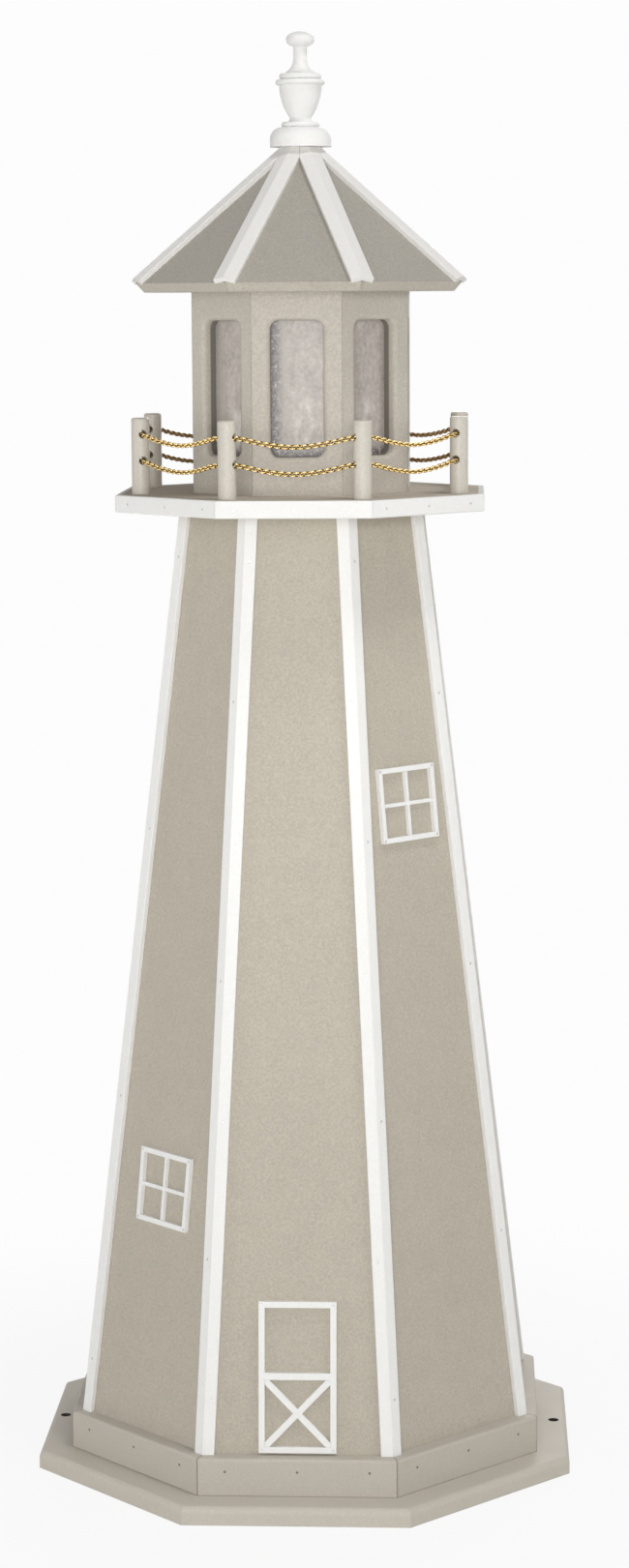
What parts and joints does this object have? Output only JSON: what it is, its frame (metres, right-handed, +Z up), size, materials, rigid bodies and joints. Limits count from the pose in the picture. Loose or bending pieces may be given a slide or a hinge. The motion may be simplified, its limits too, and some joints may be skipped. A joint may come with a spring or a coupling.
{
  "type": "garden lighthouse",
  "caption": "White and grey octagonal garden lighthouse with a chain-railed gallery, glazed lantern, lift-off ribbed roof, turned finial, and door and window trim.",
  "frame": {"origin": "on the tower's axis at the underside of the base board", "axes": "+Z up along the tower's axis, -Y to the front, through the door, and +X to the right of it"},
  "size_m": [0.57, 0.57, 1.5235],
  "materials": {
    "white_board": "satin",
    "grey_board": "matte",
    "gold_chain": "polished",
    "clear_pane": "hammered",
    "steel": "brushed",
    "lamp_plastic": "gloss",
    "bulb_metal": "satin",
    "grommet_rubber": "matte"
  },
  "bodies": {
    "tower": {"tower_batten_1": "white_board", "tower_batten_2": "white_board", "tower_batten_3": "white_board", "tower_batten_4": "white_board", "tower_batten_5": "white_board", "tower_batten_6": "white_board", "tower_batten_7": "white_board", "tower_batten_8": "white_board", "deck_fascia": "white_board", "door_frame": "white_board", "door_brace": "white_board", "window_frames": "white_board", "window_muntins": "white_board", "base_board": "grey_board", "skirt_boards": "grey_board", "tower_panel_1": "grey_board", "tower_panel_2": "grey_board", "tower_panel_3": "grey_board", "tower_panel_4": "grey_board", "tower_panel_5": "grey_board", "tower_panel_6": "grey_board", "tower_panel_7": "grey_board", "tower_panel_8": "grey_board", "tower_top_plate": "grey_board", "gallery_deck": "grey_board", "gallery_posts": "grey_board", "lantern_panel_1": "grey_board", "lantern_panel_2": "grey_board", "lantern_panel_3": "grey_board", "lantern_panel_4": "grey_board", "lantern_panel_5": "grey_board", "lantern_panel_6": "grey_board", "lantern_panel_7": "grey_board", "lantern_panel_8": "grey_board", "upper_chain": "gold_chain", "lower_chain": "gold_chain", "lantern_panes": "clear_pane", "skirt_nails": "steel", "fascia_nails": "steel", "batten_nails": "steel", "trim_nails": "steel", "post_screws": "steel", "deck_screws": "steel", "lamp_holder": "lamp_plastic", "cable_grommet": "grommet_rubber"},
    "roof": {"roof_panel_1": "grey_board", "roof_panel_2": "grey_board", "roof_panel_3": "grey_board", "roof_panel_4": "grey_board", "roof_panel_5": "grey_board", "roof_panel_6": "grey_board", "roof_panel_7": "grey_board", "roof_panel_8": "grey_board", "roof_ribs": "white_board", "peak_block": "white_board", "roof_cleats": "white_board", "finial": "white_board", "finial_screw": "steel"},
    "bulb": {"bulb_cap": "bulb_metal", "bulb_glass": "clear_pane"}
  },
  "joints": [
    {"name": "roof_lift", "type": "slide", "parent": "tower", "child": "roof", "axis": [0, 0, 1], "range_m": [0, 0.12]},
    {"name": "bulb_lift", "type": "slide", "parent": "tower", "child": "bulb", "axis": [0, 0, 1], "range_m": [0, 0.035]}
  ]
}
